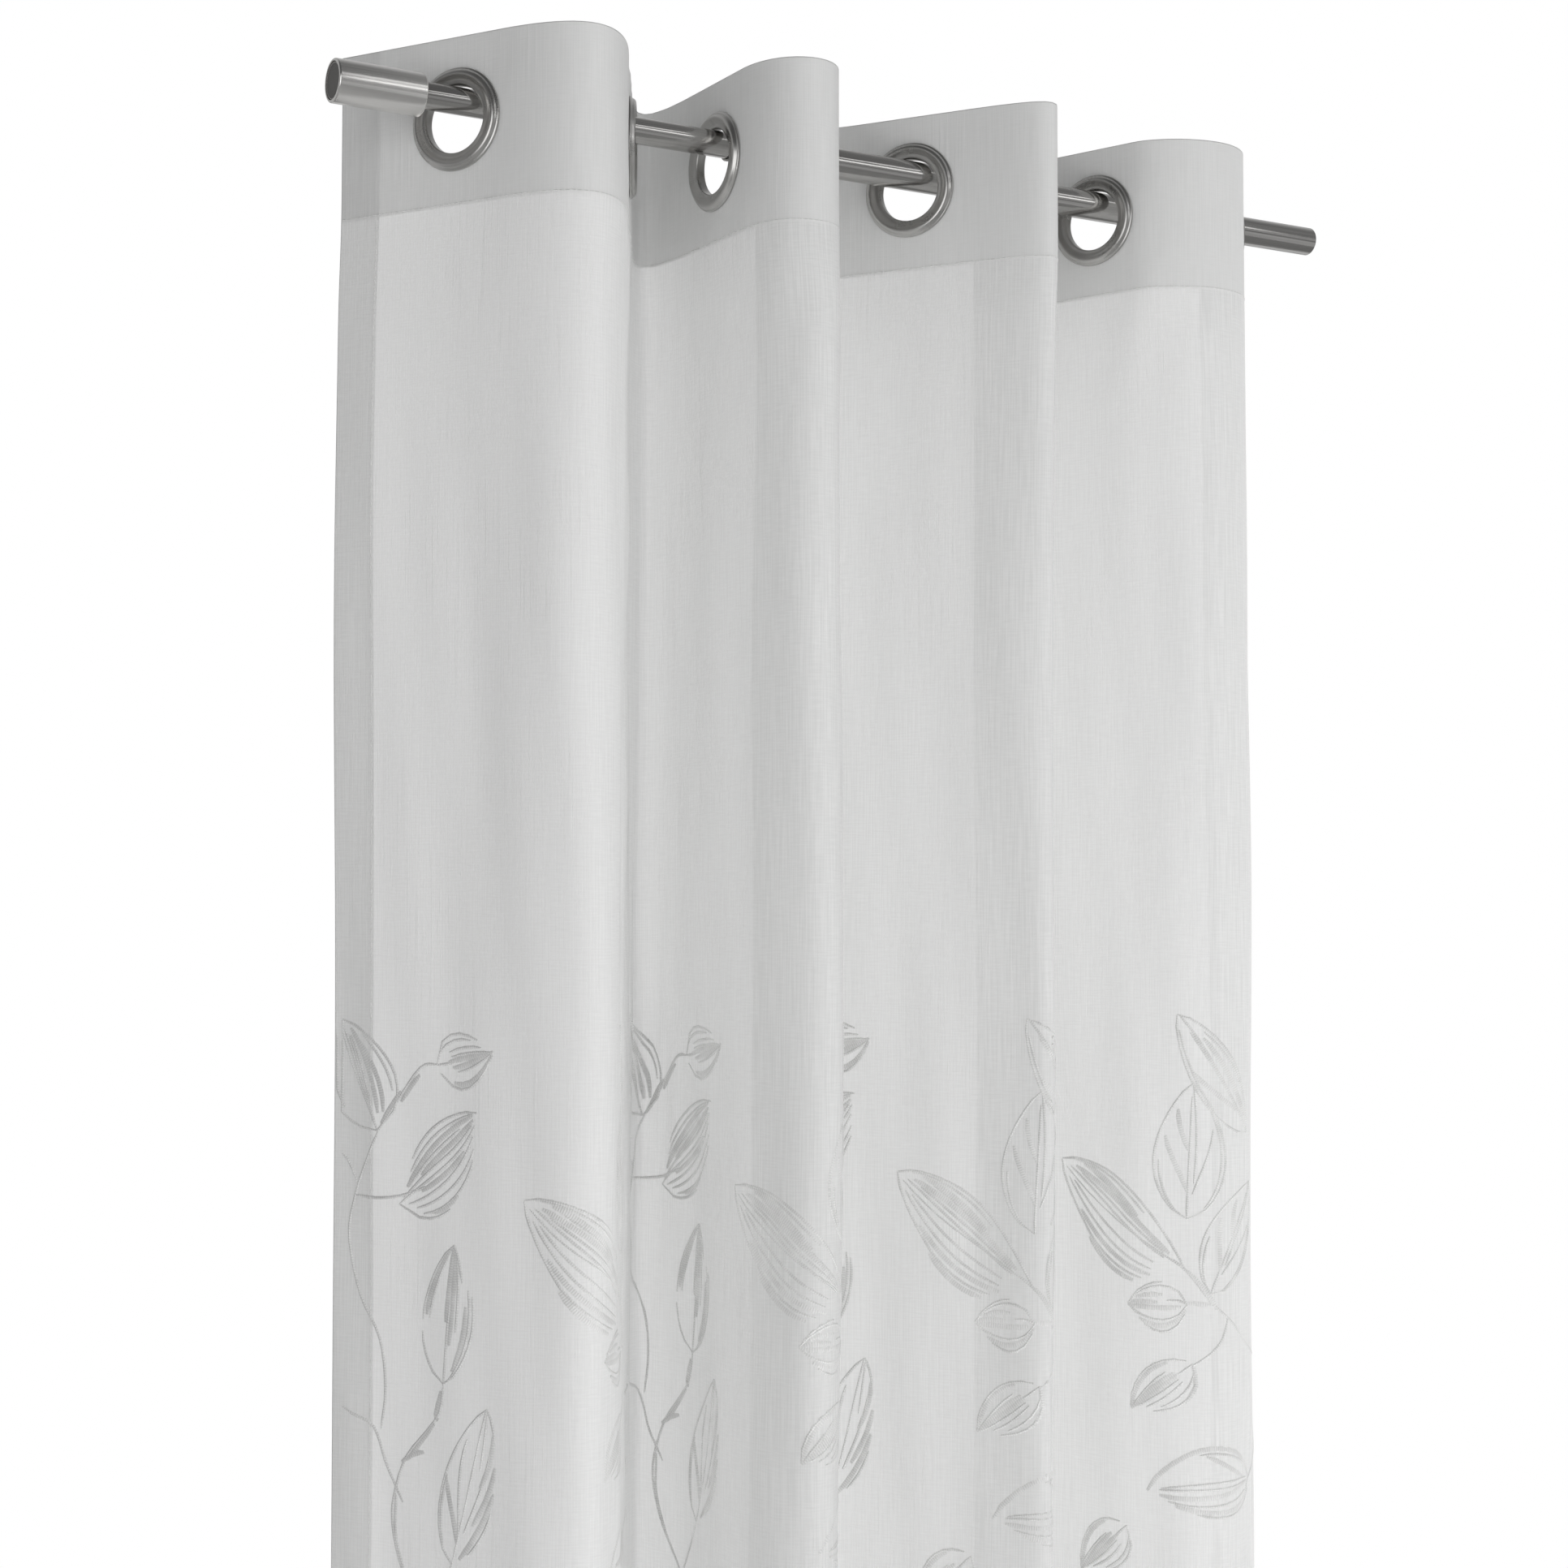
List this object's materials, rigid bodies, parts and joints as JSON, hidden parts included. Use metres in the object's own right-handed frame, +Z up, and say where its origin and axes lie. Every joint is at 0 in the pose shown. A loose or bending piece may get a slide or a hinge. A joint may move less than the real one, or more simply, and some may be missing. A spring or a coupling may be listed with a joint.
{
  "type": "eyelet voile curtain on a rod",
  "caption": "Sheer embroidered voile curtain with metal eyelets, hanging in deep uneven folds on a telescopic steel rod with a cylindrical end cap.",
  "frame": {"origin": "on the rod's axis, half way along the rod", "axes": "+Z up, X along the rod with the end cap at -X, +Y towards the wall, -Y towards the room"},
  "size_m": [0.723, 0.1574, 2.45],
  "materials": {
    "voile": "sheer slub voile, light grey-white, tone-on-tone leaf embroidery",
    "eyelet_metal": "satin nickel",
    "rod_steel": "brushed along the rod",
    "cap_disc": "matte dark grey"
  },
  "bodies": {
    "root": {"curtain_panel": "voile", "eyelet_1_front": "eyelet_metal", "eyelet_1_back": "eyelet_metal", "eyelet_2_front": "eyelet_metal", "eyelet_2_back": "eyelet_metal", "eyelet_3_front": "eyelet_metal", "eyelet_3_back": "eyelet_metal", "eyelet_4_front": "eyelet_metal", "eyelet_4_back": "eyelet_metal", "eyelet_5_front": "eyelet_metal", "eyelet_5_back": "eyelet_metal", "eyelet_6_front": "eyelet_metal", "eyelet_6_back": "eyelet_metal", "eyelet_7_front": "eyelet_metal", "eyelet_7_back": "eyelet_metal", "eyelet_8_front": "eyelet_metal", "eyelet_8_back": "eyelet_metal", "rod_thin_tube": "rod_steel", "rod_thick_tube": "rod_steel", "rod_end_cap": "rod_steel", "rod_cap_disc": "cap_disc"}
  },
  "joints": []
}
